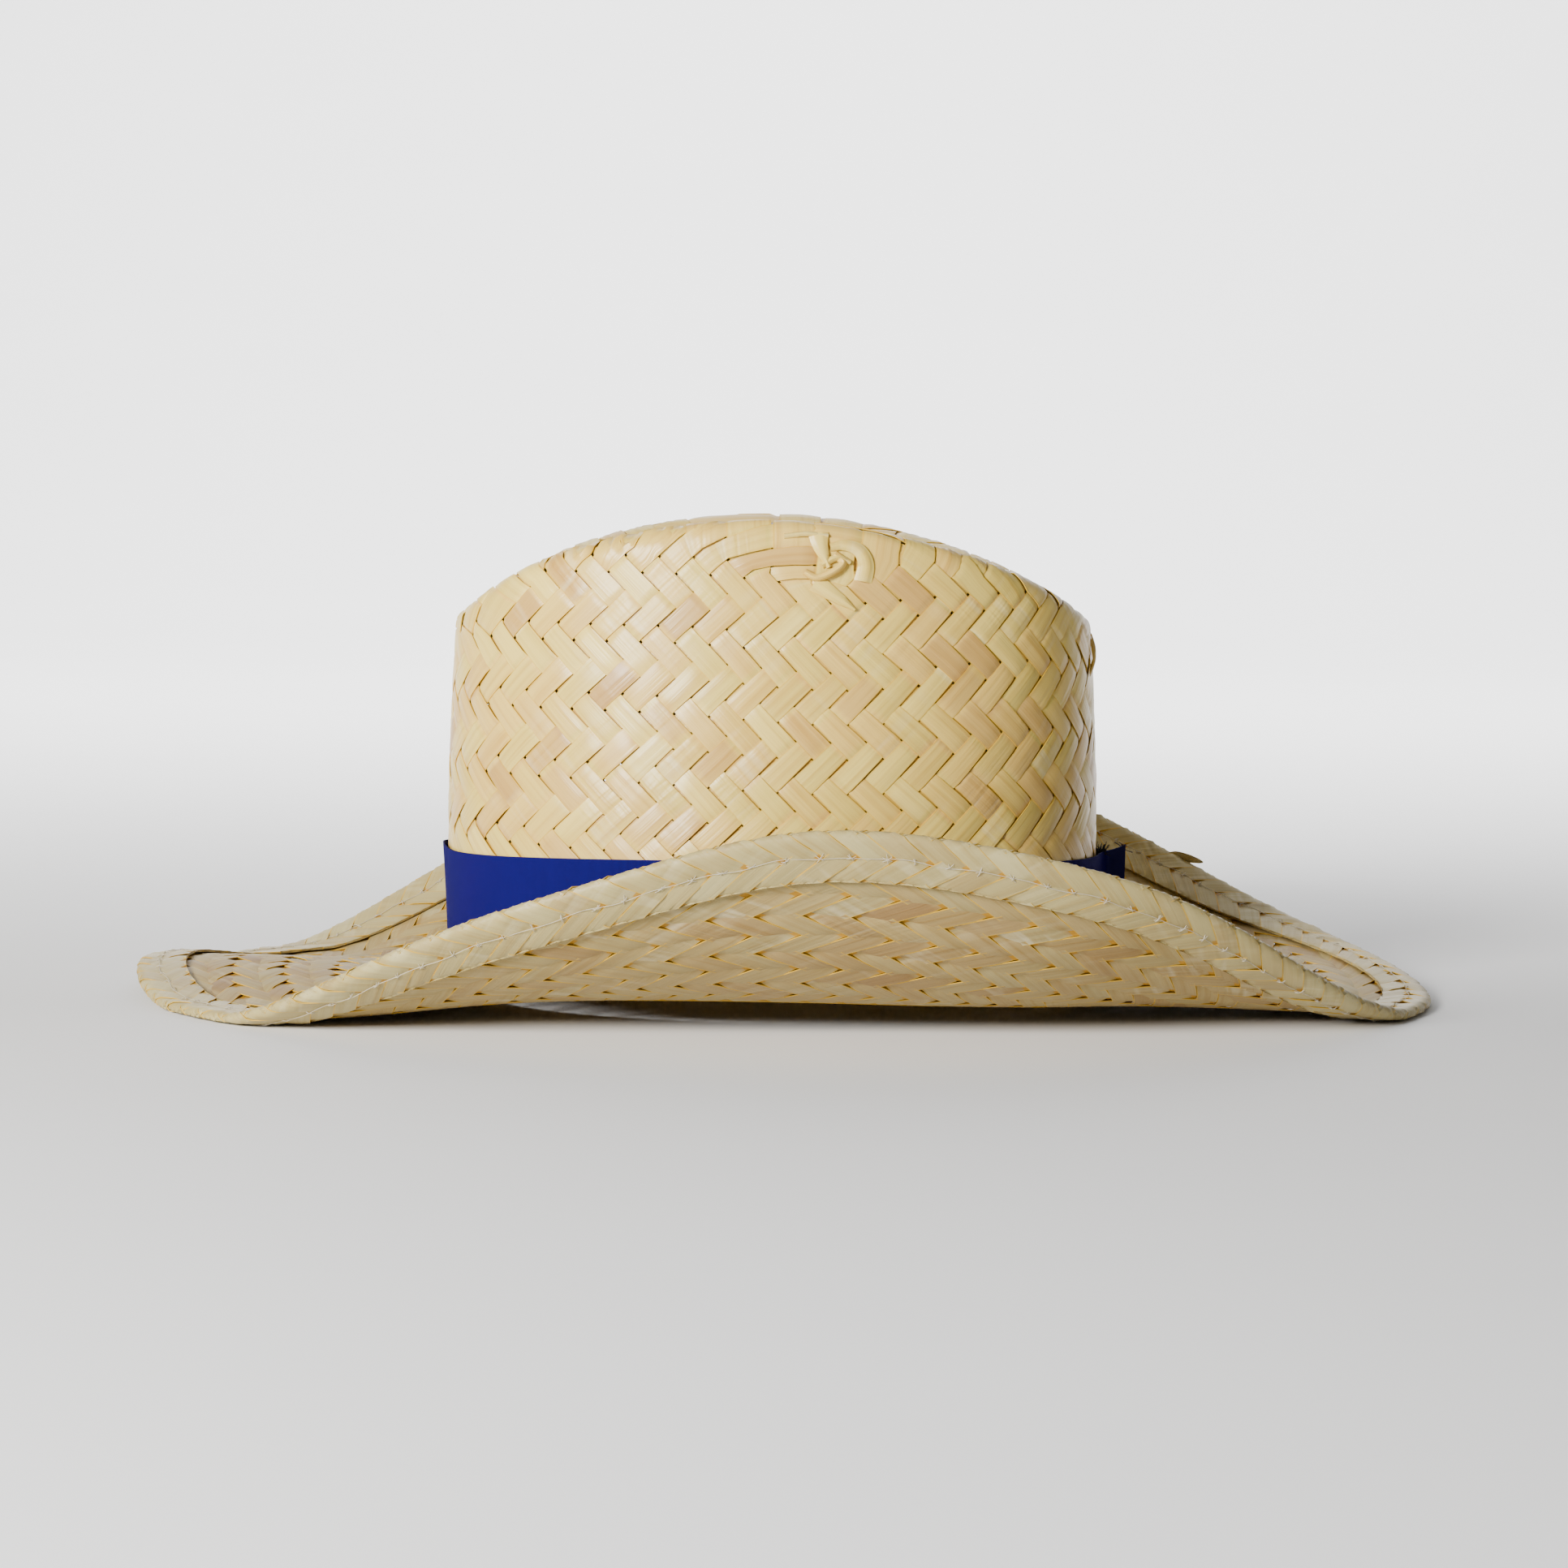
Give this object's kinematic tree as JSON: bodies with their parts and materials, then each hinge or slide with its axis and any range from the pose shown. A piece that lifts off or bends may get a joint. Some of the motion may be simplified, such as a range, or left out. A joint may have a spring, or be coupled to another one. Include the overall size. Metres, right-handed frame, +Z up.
{
  "type": "straw cowboy hat",
  "caption": "Straw cowboy hat with a creased crown, curled brim, braided edge binding and a blue ribbon band.",
  "frame": {"origin": "centre of the hat's bounding box, at the surface the brim rests on", "axes": "+Z up through the crown, -X toward the front of the hat, +Y toward the wearer's right side"},
  "size_m": [0.4049, 0.2904, 0.1495],
  "materials": {
    "straw": "satin",
    "straw_binding": "satin",
    "ribbon": "matte"
  },
  "bodies": {
    "root": {"crown": "straw", "brim": "straw", "brim_binding": "straw_binding", "hat_band": "ribbon"}
  },
  "joints": []
}
